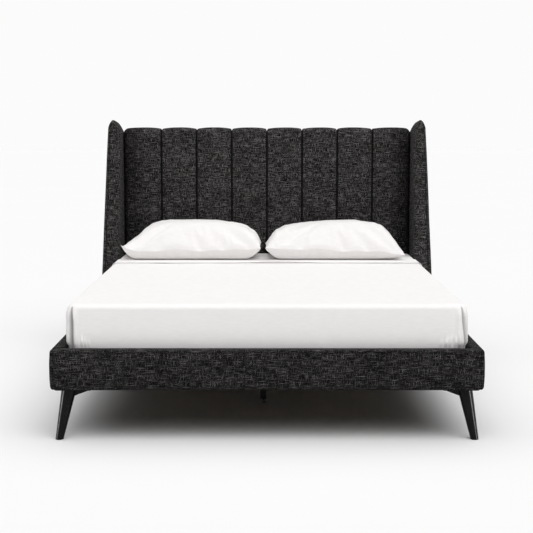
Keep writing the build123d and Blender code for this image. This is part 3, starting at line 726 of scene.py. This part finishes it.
def bed_shape(grow, bottom_radius=None):
    """The mattress's own rounding, grown outwards by an even amount."""
    plan_radius = 50 * MM + grow
    top_radius = 14 * MM + grow
    low = mattress_low - Vector((grow, grow, 0))
    high = mattress_high + Vector((grow, grow, grow))

    def shape(x, y, z):
        side, edge_x = (1, high.x) if x > 0 else (-1, low.x)
        end, edge_y = (1, high.y) if y > (low.y + high.y) / 2 else (-1, low.y)
        x, z = rounded(x, z, edge_x, high.z, side, 1, top_radius)
        y, z = rounded(y, z, edge_y, high.z, end, 1, top_radius)
        x, y = rounded(x, y, edge_x, edge_y, side, end, plan_radius)
        if bottom_radius:
            x, z = rounded(x, z, edge_x, low.z, side, -1, bottom_radius)
            y, z = rounded(y, z, edge_y, low.z, end, -1, bottom_radius)
        return x, y, z

    return low, high, shape


def bed_stations(low, high, *lower):
    """Stations over the whole bed, closer round the top edge and any lower place."""
    zs = stops(low.z, high.z, 10 * MM, (high.z, 26 * MM, 4 * MM), *lower)
    return stops(low.x, high.x, 12 * MM), stops(low.y, high.y, 12 * MM), zs


def mattress():
    """The mattress in its quilted ticking."""
    bottom_radius = 10 * MM
    low, high, shape = bed_shape(0.0, bottom_radius)
    quilting = 0.24

    def relief(x, y, z, place):
        if z > low.z:
            return 0.0
        across = abs((x - low.x) / quilting % 1 - 0.5) - 0.5
        along = abs((y - low.y) / quilting % 1 - 0.5) - 0.5
        return -2.5 * MM * max(bump(across, 0.05), bump(along, 0.05))

    made = piece(
        "mattress_ticking", lattice(bed_stations(low, high, (low.z, bottom_radius, 2.5 * MM))),
        ticking, "mattress", shape, relief, ["mattress"],
    )


def fitted_sheet():
    """The close sheet over the mattress, gathered by elastic at its lower edge."""
    thick = 1.2 * MM
    low, high, shape = bed_shape(0.75 * MM)

    def relief(x, y, z, place):
        along = x + y
        gather = 1.1 * MM * math.sin(TAU * along / (21 * MM) + 6 * rough(x, y, 0.0, 0.2))
        out = gather * ease((low.z + 45 * MM - z) / (40 * MM))
        if z >= high.z:
            out += 1.3 * MM * (0.3 + rough(x, y, 0.0, 0.13)) * ease((high.y - y) / 0.05)
        return max(0.0, out)

    sides = ("left", "right", "front", "back", "top")
    made = piece(
        "fitted_sheet_cloth", lattice(bed_stations(low, high), sides), linen,
        "mattress", shape, relief, ["fitted_sheet"], thick, weave=False,
    )


# Pleats by the foot corners of the top sheet, in metres: how far along the front from the corner
# each ridge is at its foot and at its head, its half width, its height and how far up it runs.
LEFT_PLEATS = (
    (0.057, 0.055, 0.007, 0.0085, 0.052),
    (0.072, 0.067, 0.006, 0.0070, 0.040),
    (0.086, 0.080, 0.006, 0.0045, 0.036),
)
RIGHT_PLEATS = (
    (0.030, 0.034, 0.006, 0.0080, 0.070),
    (0.046, 0.042, 0.007, 0.0090, 0.050),
    (0.068, 0.056, 0.007, 0.0080, 0.048),
    (0.084, 0.072, 0.007, 0.0095, 0.044),
    (0.103, 0.092, 0.007, 0.0060, 0.036),
)


def pleats(from_corner, above_rail, ridges):
    """How far the sheet's pleats stand out, each dying away as it runs up."""
    out = 0.0
    for foot, head, half, height, run in ridges:
        up = max(0.0, above_rail / run)
        if up < 1:
            line = foot + (head - foot) * up
            out += height * bump(from_corner - line, half) * ease((1 - up) / 0.6)
    return out


def flap_gap(from_corner, below_top, side):
    """1 along the gap beside the corner's folded flap, which opens from a point at the top."""
    half = 8 * MM + 13 * MM * ease(below_top / (70 * MM))
    line = 10 * MM if side < 0 else 12 * MM - 31 * MM * ease(below_top / (170 * MM))
    return bump(from_corner - line, half) ** 0.45


def top_sheet():
    """The flat sheet, tucked in at the sides and foot, its head end turned back over it."""
    thick = 1.7 * MM
    layer = 2.4 * MM
    low, high, shape = bed_shape(2.6 * MM)
    fold = sheet_end - 2 * MM
    hem_edge = head_face - 545 * MM
    hem_length = fold - hem_edge
    hem_bottom = rail_top + 10 * MM
    hem_band = 24 * MM
    lift = 1.6 * MM
    slack_height = 10 * MM
    # How dark the painted shade is in the gap beside each foot corner's flap, left and right
    left_painted_shade, right_painted_shade = 0.66, 0.52

    def whole(x, y, z):
        if y <= fold:
            return shape(x, y, z)
        back = 2 * fold - y
        raised = layer * ease((y - fold) / (6 * MM))
        wide = 1 + raised / high.x
        x, y, z = shape(x, back, z)
        return x * wide, y, z + (raised if z > hem_bottom else 0.0)

    def turned_down(x, y, z, place):
        """The band that is turned back: its hem stands up a little right of the middle."""
        from_edge = fold + hem_length - y
        raised = 7 * MM * bump(x - 60 * MM, 230 * MM) * ease(1 - from_edge / (60 * MM))
        out = -((lift + raised) * ease(1 - from_edge / (10 * MM))
                - 0.7 * MM * bump(from_edge - hem_band, 1.6 * MM))
        return out - 0.5 * MM * rough(x, place.y, z, 0.05)

    def relief(x, y, z, place):
        if y > fold:
            return turned_down(x, y, z, place)
        if z >= high.z:
            inside = min(high.x - abs(x), y - low.y)
            out = 1.1 * MM * rough(x, y, 0.0, 0.22) * ease(inside / 0.06)
            return out + 0.9 * MM * rough(x, y, 3.0, 0.07) * ease(inside / 0.06)
        on_foot = y <= low.y
        above_rail, below = z - rail_top, high.z - z
        above = ease((above_rail + 40 * MM) / (60 * MM))
        drop = ease((high.z - 20 * MM - z) / (30 * MM))
        out = 0.8 * MM * rough(1.7 * x, 1.7 * y, 0.35 * z, 0.10) * above * drop
        from_corner = high.x - abs(x) if on_foot else low.y - y
        free = ease((above_rail + 4 * MM) / (20 * MM))
        slack = free * ease(below / (45 * MM)) * ease((from_corner + 0.15) / 0.09)
        slack *= ease((48 * MM - from_corner) / (22 * MM))
        out += slack_height * slack * (1 - flap_gap(from_corner, below, x))
        if on_foot:
            ridges = LEFT_PLEATS if x < 0 else RIGHT_PLEATS
            out += pleats(from_corner, above_rail, ridges) * free
            hem_ripple = 1.0 * MM * rough(x, 0.0, 0.2 * z, 0.035, 4.0)
            out += hem_ripple * drop * bump(above_rail, 0.09)
        return out

    corner_reach, fine = 120 * MM, 2.5 * MM
    head_zone = (fold, 8 * MM, 1.5 * MM)
    edge_zone = (fold + hem_length - hem_band / 2, hem_band / 2 + 3 * MM, 1.3 * MM)

    def keep(x, y, z):
        return y < fold or z > hem_bottom

    # Painted shade in the gap beside each foot corner's folded flap
    def painted_shade(x, y, z):
        if z >= high.z:
            return 0.0
        from_corner = high.x - abs(x) if y <= low.y else low.y - y
        shade = left_painted_shade if x < 0 else right_painted_shade
        return shade * flap_gap(from_corner, high.z - z, x) * ease((high.z - z) / (12 * MM))

    left, right = ((edge, corner_reach, fine) for edge in (low.x, high.x))
    foot_zone = (low.y, 90 * MM, fine)
    xs = stops(low.x, high.x, 14 * MM, left, right)
    ys = stops(low.y, fold + hem_length, 14 * MM, foot_zone, head_zone, edge_zone)
    zs = stops(low.z, high.z, 9 * MM, (high.z, 30 * MM, 3 * MM))
    made = piece(
        "top_sheet_cloth", lattice((xs, ys, zs), ("left", "right", "front", "top"), keep), linen,
        "mattress", whole, relief, ["top_sheet"], thick, weave=False, painted_shade=painted_shade,
    )


def pillow_case(width, depth, pitch):
    """Two flat panels sewn together round their edge, with each point's layer: 1, -1 or 0."""
    counts = [round(width / pitch), round(depth / pitch)]
    index, points, layers, faces = {}, [], [], []

    def point(i, j, layer):
        if i in (0, counts[0]) or j in (0, counts[1]):
            layer = 0
        key = (i, j, layer)
        if key not in index:
            index[key] = len(points)
            x, y = (i / counts[0] - 0.5) * width, (j / counts[1] - 0.5) * depth
            points.append((x, y, layer * (4 * MM + 2 * MM * rough(x, y, layer, 0.06))))
            layers.append(layer)
        return index[key]

    for i in range(counts[0]):
        for j in range(counts[1]):
            for layer in (1, -1):
                corners = [point(i + di, j + dj, layer) for di, dj in AROUND]
                faces.append(corners if layer > 0 else corners[::-1])
    return points, layers, faces


CASE_CLOTH = {
    "quality": 5, "mass": 0.3, "tension_stiffness": 30, "compression_stiffness": 15,
    "shear_stiffness": 4, "bending_stiffness": 0.5, "air_damping": 2, "use_pressure": True,
    "uniform_pressure_force": 3, "vertex_group_pressure": "stuffing",
}
CASE_FRAMES = 21


def blown_up(points, faces, stuffing):
    """The points of a case blown up with Cloth, harder where there is more stuffing."""
    mesh = bpy.data.meshes.new("case")
    mesh.from_pydata(points, [], faces)
    case = add_object("case", mesh)
    group = case.vertex_groups.new(name="stuffing")
    for number, share in enumerate(stuffing):
        group.add([number], share, "REPLACE")
    cloth = case.modifiers.new("stuffing", "CLOTH")
    cloth.point_cache.frame_start = 1
    cloth.point_cache.frame_end = CASE_FRAMES
    for key, value in CASE_CLOTH.items():
        setattr(cloth.settings, key, value)
    cloth.settings.effector_weights.gravity = 0
    for frame_number in range(1, CASE_FRAMES + 1):
        bpy.context.scene.frame_set(frame_number)
    done = case.evaluated_get(bpy.context.evaluated_depsgraph_get())
    places = [vertex.co.copy() for vertex in done.data.vertices]
    bpy.data.objects.remove(case)
    bpy.data.meshes.remove(mesh)
    bpy.context.scene.frame_set(1)
    return places


def along_table(table, share):
    """Reads a table of (place, value) pairs at a place between them."""
    for (start, first), (end, last) in zip(table, table[1:]):
        if share <= end:
            return first + (last - first) * (share - start) / (end - start)
    return table[-1][1]


# The height of each pillow's crest as a share of its own, along its half width from -1 to 1.
LEFT_CREST = (
    (-1.0, 0.36), (-0.924, 0.435), (-0.777, 0.64), (-0.703, 0.775), (-0.629, 0.868),
    (-0.54, 0.933), (-0.451, 0.976), (-0.334, 1.0), (0.0, 1.01), (0.39, 0.985), (0.656, 0.93),
    (0.803, 0.85), (0.91, 0.69), (0.952, 0.58), (1.0, 0.40),
)
RIGHT_CREST = (
    (-1.0, 0.29), (-0.961, 0.43), (-0.902, 0.59), (-0.828, 0.745), (-0.695, 0.85),
    (-0.503, 0.913), (-0.09, 0.99), (0.309, 1.0), (0.6045, 0.935), (0.708, 0.865), (0.841, 0.655),
    (0.929, 0.38), (1.0, 0.20),
)
# The height of each pillow's front seam over the sheet, in metres, along its half width.
LEFT_SEAM = ((-1.0, 0.085), (-0.9, 0.064), (-0.78, 0.055), (0.5, 0.057), (0.8, 0.062), (1.0, 0.070))
RIGHT_SEAM = (
    (-1.0, 0.070), (-0.8, 0.066), (-0.45, 0.062), (0.0, 0.056), (0.3, 0.053), (0.6, 0.049),
    (0.78, 0.043), (0.93, 0.036), (1.0, 0.033),
)
# The creases of each pillow's top: where each starts and ends, as shares of half its width and
# depth, its depth and its half width in metres.
LEFT_CREASES = (
    ((-0.30, -0.92), (-0.12, -0.62), 0.0020, 0.020),
    ((-0.62, -0.90), (-0.20, -0.74), 0.0020, 0.024),
    ((0.58, -0.98), (0.50, -0.70), 0.0060, 0.011),
    ((0.50, -0.95), (0.78, -0.72), 0.0020, 0.016),
)
RIGHT_CREASES = (
    ((-0.52, -0.97), (-0.32, -0.55), 0.0055, 0.013),
    ((-0.60, -0.98), (-0.58, -0.80), 0.0030, 0.010),
    ((-0.92, -0.92), (-0.52, -0.70), 0.0020, 0.020),
    ((-0.05, -0.90), (0.03, -0.60), 0.0022, 0.018),
)


def crease(place, start, end, depth, width):
    """A soft fold pressed in along a line from start to end, deepest in the middle."""
    run = (end - start).length
    along = (place - start).dot(end - start) / run
    across = (place - start).cross(end - start) / run
    return -depth * bump(across, width) * bump(along - run / 2, run * 0.7)


def pillow(name, crest_shares, front_seam, creases, seed):
    """A down pillow: a sewn case blown up, then settled on the bed with the crest it has there."""
    low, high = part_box(name)
    base = low.z
    depth = 440 * MM
    middle = Vector(((low.x + high.x) / 2, high.y - depth / 2, 0))
    half = ((high.x - low.x) / 2 + 4 * MM, depth / 2)
    seam_height = 55 * MM
    under_reach, rest_reach = 44 * MM, 115 * MM
    gap = 16 * MM
    right_fill, left_fill = 0.07, 0.055
    corner_gap = 0.025
    gathered = 0.2
    pleat_end = math.copysign(1, -middle.x)
    flat = (730 * MM, 490 * MM)
    pitch = 8 * MM
    case_points, layers, faces = pillow_case(*flat, pitch)
    stuffing = []
    for x, y, z in case_points:
        u, v = 2 * x / flat[0], 2 * y / flat[1]
        uneven = 1 + 0.12 * rough(x, y, 0.0, 0.22, seed)
        stuffing.append(min(1.0, max(0.0, (1 - u * u) * (1 - v * v) * uneven)))
    places = blown_up(case_points, faces, stuffing)

    # Each point's shares of the half width and depth, and the tallest point of each slice
    reach = [max(abs(place[axis]) for place in places) for axis in (0, 1)]
    slices = round(0.8 * flat[0] / pitch)
    tallest = [0.0] * (slices + 1)
    shares = []
    for place in places:
        u, v = place.x / reach[0], place.y / reach[1]
        u *= 1 + (right_fill if u > 0 else left_fill) * (1 - v * v) * u ** 4
        limit = 1 - corner_gap * (1 - v * v)
        u = min(limit, max(-limit, u))
        shares.append((u, v))
        near = min(slices, round((u + 1) / 2 * slices))
        tallest[near] = max(tallest[near], place.z)
    crest = [(2 * n / slices - 1, value) for n, value in enumerate(tallest)]

    settled = []
    for place, (u, v), layer, (x, y, _) in zip(places, shares, layers, case_points):
        toward_front = max(0.0, -v) ** 1.5
        seam = seam_height + (along_table(front_seam, u) - seam_height) * toward_front
        if layer >= 0:
            full = min(1.0, place.z / max(along_table(crest, u), 8 * MM))
            lift = (high.z - base) * along_table(crest_shares, u) - seam
            z = base + seam + max(0.0, lift) * full
        else:
            from_edge = min(0.6 * (flat[0] / 2 - abs(x)), flat[1] / 2 - abs(y))
            turn = max(0.0, 1 - from_edge / under_reach) ** 1.3
            z = base + (seam - gap) * turn + gap * max(0.0, 1 - from_edge / rest_reach)
        settled.append((middle.x + half[0] * u, middle.y + half[1] * v, z))

    def spot(u, v):
        return Vector((u * half[0], v * half[1]))

    def relief(x, y, z, place):
        if place.z < base + 3 * MM:
            return 0.0
        u, v = (place.x - middle.x) / half[0], (place.y - middle.y) / half[1]
        edge = min(1 - abs(u), 1 - abs(v))
        out = 1.2 * MM * rough(*place, 0.13, seed) * ease(edge / 0.3)
        out += pucker(place.x, edge * 0.3, seed, 30 * MM, 30 * MM, 1.1 * MM) * ease(edge / 0.05)
        if place.z > base + seam_height + 6 * MM:
            here = Vector((place.x - middle.x, place.y - middle.y))
            for start, end, deep, wide in creases:
                out += crease(here, spot(*start), spot(*end), deep, wide)
            from_end = 1 - pleat_end * u
            if from_end < gathered:
                fades = ease(from_end / 0.04) * ease((gathered - from_end) / 0.1)
                gathers = math.sin(TAU * from_end / 0.05) * fades
                out += 2.2 * MM * gathers * ease((0.75 - abs(v)) / 0.3)
        return out

    made = piece(
        f"{name}_linen", (settled, faces), pillow_linen, name, None, relief, [name],
        weave=False,
    )
    sharp = made.data.attributes.new("crease_edge", "FLOAT", "EDGE")
    for edge in made.data.edges:
        if layers[edge.vertices[0]] == 0 and layers[edge.vertices[1]] == 0:
            sharp.data[edge.index].value = 1.0
            edge.use_edge_sharp = True
    soft = made.modifiers.new("soft", "SUBSURF")
    soft.levels = soft.render_levels = 1


def slat_straps():
    """Webbing under the slats, stapled to each."""
    width = 30 * MM
    for label, side, nodes in (("left", -1, []), ("right", 1, ["slat_straps"])):
        middle = side * (strap_high.x - width / 2)
        xs = [middle + place * MM for place in (-15, -12, 0, 12, 15)]
        ys = stops(strap_low.y, strap_high.y, 10 * MM)

        def relief(x, y, z, place):
            return -0.2 * MM * bump(x - middle, 9 * MM) * (0.6 + 0.4 * math.sin(y * TAU / 0.02))

        made = piece(
            f"slat_strap_{label}", lattice((xs, ys, [strap_low.z, strap_high.z])), webbing,
            "bed_frame", None, relief, nodes,
        )


for number in range(1, 9):
    channel(number)
wing("wing_left", -1)
wing("wing_right", 1)
foot_rail()
side_rail("side_rail_padding_left", -1)
side_rail("side_rail_padding_right", 1)
back_cover()
mattress()
fitted_sheet()
top_sheet()
pillow("pillow_left", LEFT_CREST, LEFT_SEAM, LEFT_CREASES, 1.0)
pillow("pillow_right", RIGHT_CREST, RIGHT_SEAM, RIGHT_CREASES, 2.0)
slat_straps()


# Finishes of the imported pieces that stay

def dress(look, *names):
    for name in names:
        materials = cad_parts[name].data.materials
        materials.clear()
        materials.append(look)


def at_corners(stem):
    return [f"{stem}_{end}_{side}" for end in ("front", "rear") for side in ("left", "right")]


# The pine is darker than bare pine as painted shade, so the wood bounces less light under the bed
pine_pale, pine_dark = (0.30, 0.21, 0.13), (0.20, 0.13, 0.07)
pine_x = timber_look("pine_across", 0, pine_pale, pine_dark)
pine_y = timber_look("pine_along", 1, pine_pale, pine_dark)
pine_z = timber_look("pine_upright", 2, pine_pale, pine_dark)
dress(pine_z, "headboard_post_left", "headboard_post_right", *at_corners("corner_block"))
dress(pine_x, "headboard_top_rail", "headboard_middle_rail", "headboard_bottom_rail",
      "foot_rail_core", "head_cross_rail")
dress(pine_y, "side_rail_core_left", "side_rail_core_right", "slat_ledge_left",
      "slat_ledge_right")
dress(plywood_look("birch_slats", 0, 2), "slats")
dress(plywood_look("birch_panel", 2, 1), "headboard_panel")
dress(plywood_look("birch_wings", 2, 0), "wing_core_left", "wing_core_right")
black_metal = coated_look("black_steel", 0.003, 0.011, 0.42)
plastic = coated_look("black_plastic", 0.010, 0.020, 0.5, grain=1200.0)
zinc = coated_look("zinc", (0.45, 0.44, 0.40), (0.66, 0.66, 0.63), 0.3, 1.0)
dress(leg_look(), *at_corners("leg"))
dress(black_metal, *at_corners("leg_bracket"), "centre_beam", "beam_hanger_foot",
      "beam_hanger_head", "centre_leg_front", "centre_leg_rear")
dress(plastic, "leg_glides", "centre_leg_plugs", "levelling_foot_front", "levelling_foot_rear")
dress(zinc, "frame_bolts", "wood_screws", "centre_leg_bolts")


# Studio

# Whites that the camera sees
BACKDROP_WHITE = 0.965
FLOOR_WHITE = 0.88
# The floor's colour for bounced light, beside the bed and under it, and how far one fades to the
# other, in metres
FLOOR_BOUNCE = 0.95
UNDER_BED = 0.02
FLOOR_FADE = 0.6
# Strengths of the sky near the horizon and overhead, and the heights it brightens between
SKY_LOW = 0.12
SKY_HIGH = 1.15
SKY_FROM, SKY_TO = 0.45, 0.80
# Suns: strength, then spread, azimuth and elevation in degrees. The low ones show only in gloss.
KEY = (1.40, 60, 20, 54)
STREAKS = ((1.5, 9, -82, 5), (1.5, 9, 66, 5))


def studio_floor():
    """A wide pale floor, darker for bounced light where the bed stands over it."""
    size = 60
    points = [(-size, -size, 0), (size, -size, 0), (size, size, 0), (-size, size, 0)]
    mesh = bpy.data.meshes.new("studio_floor")
    mesh.from_pydata(points, [], [(0, 1, 2, 3)])
    floor = add_object("studio_floor", mesh)
    s = Shading("studio_floor")
    cloudy = s.noise(0.6)
    white = s.spread(cloudy, FLOOR_WHITE - 0.006, FLOOR_WHITE)
    split = s.axes(s.place)
    clear = []
    for axis, bed_edge in (("X", 0.85), ("Y", 1.1)):
        past = s.math("SUBTRACT", s.math("ABSOLUTE", split[axis]), bed_edge)
        clear.append(s.math("DIVIDE", past, FLOOR_FADE))
    outside = s.node("ShaderNodeClamp", {"Value": s.math("MAXIMUM", *clear)}).outputs["Result"]
    bounce = s.mix(outside, (*grey(UNDER_BED), 1), (*grey(FLOOR_BOUNCE), 1))
    colour = s.mix(s.seen(), bounce, white)
    mesh.materials.append(s.set(Base_Color=colour, Roughness=1.0, Specular_IOR_Level=0.0))


def sun(name, energy, spread, azimuth, elevation):
    lamp = bpy.data.lights.new(name, "SUN")
    lamp.energy = energy
    lamp.angle = math.radians(spread)
    holder = add_object(name, lamp)
    holder.rotation_euler = (math.radians(90 - elevation), 0, math.radians(azimuth))
    return holder


def studio_light():
    """A large soft light overhead, dim near the floor, and a backdrop that looks white."""
    world = bpy.data.worlds.new("studio")
    bpy.context.scene.world = world
    world.use_nodes = True
    sky = Nodes(world.node_tree)
    upward = sky.axes(sky.node("ShaderNodeTexCoord").outputs["Generated"])["Z"]
    heights = {"Value": upward, "From Min": SKY_FROM, "From Max": SKY_TO, "To Min": SKY_LOW,
               "To Max": SKY_HIGH}
    dome = sky.node("ShaderNodeMapRange", heights, interpolation_type="SMOOTHSTEP")
    mix = {"Factor": sky.seen(), "A": dome.outputs["Result"], "B": BACKDROP_WHITE}
    background = sky.tree.nodes["Background"]
    sky.put(background.inputs["Color"], (1, 1, 1, 1))
    sky.put(background.inputs["Strength"], sky.node("ShaderNodeMix", mix).outputs["Result"])
    sun("key", *KEY)
    for streak in STREAKS:
        sun("streak", *streak).visible_diffuse = False


def studio_camera():
    """The photograph's own view: a long lens, level with the headboard's top and tilted down."""
    distance_from_foot = 4.808
    aside, height = -0.002, 1.1946
    tilt_down = 6.22
    camera = bpy.data.cameras.new("photo_view")
    camera.lens = 87.05
    camera.sensor_width = 36
    camera.clip_end = 200
    holder = add_object("photo_view", camera)
    holder.location = (aside, rail_low.y - distance_from_foot, height)
    holder.rotation_euler = (math.radians(90 - tilt_down), 0, 0)
    bpy.context.scene.camera = holder


studio_floor()
studio_light()
studio_camera()
bpy.context.scene.view_settings.view_transform = "Standard"
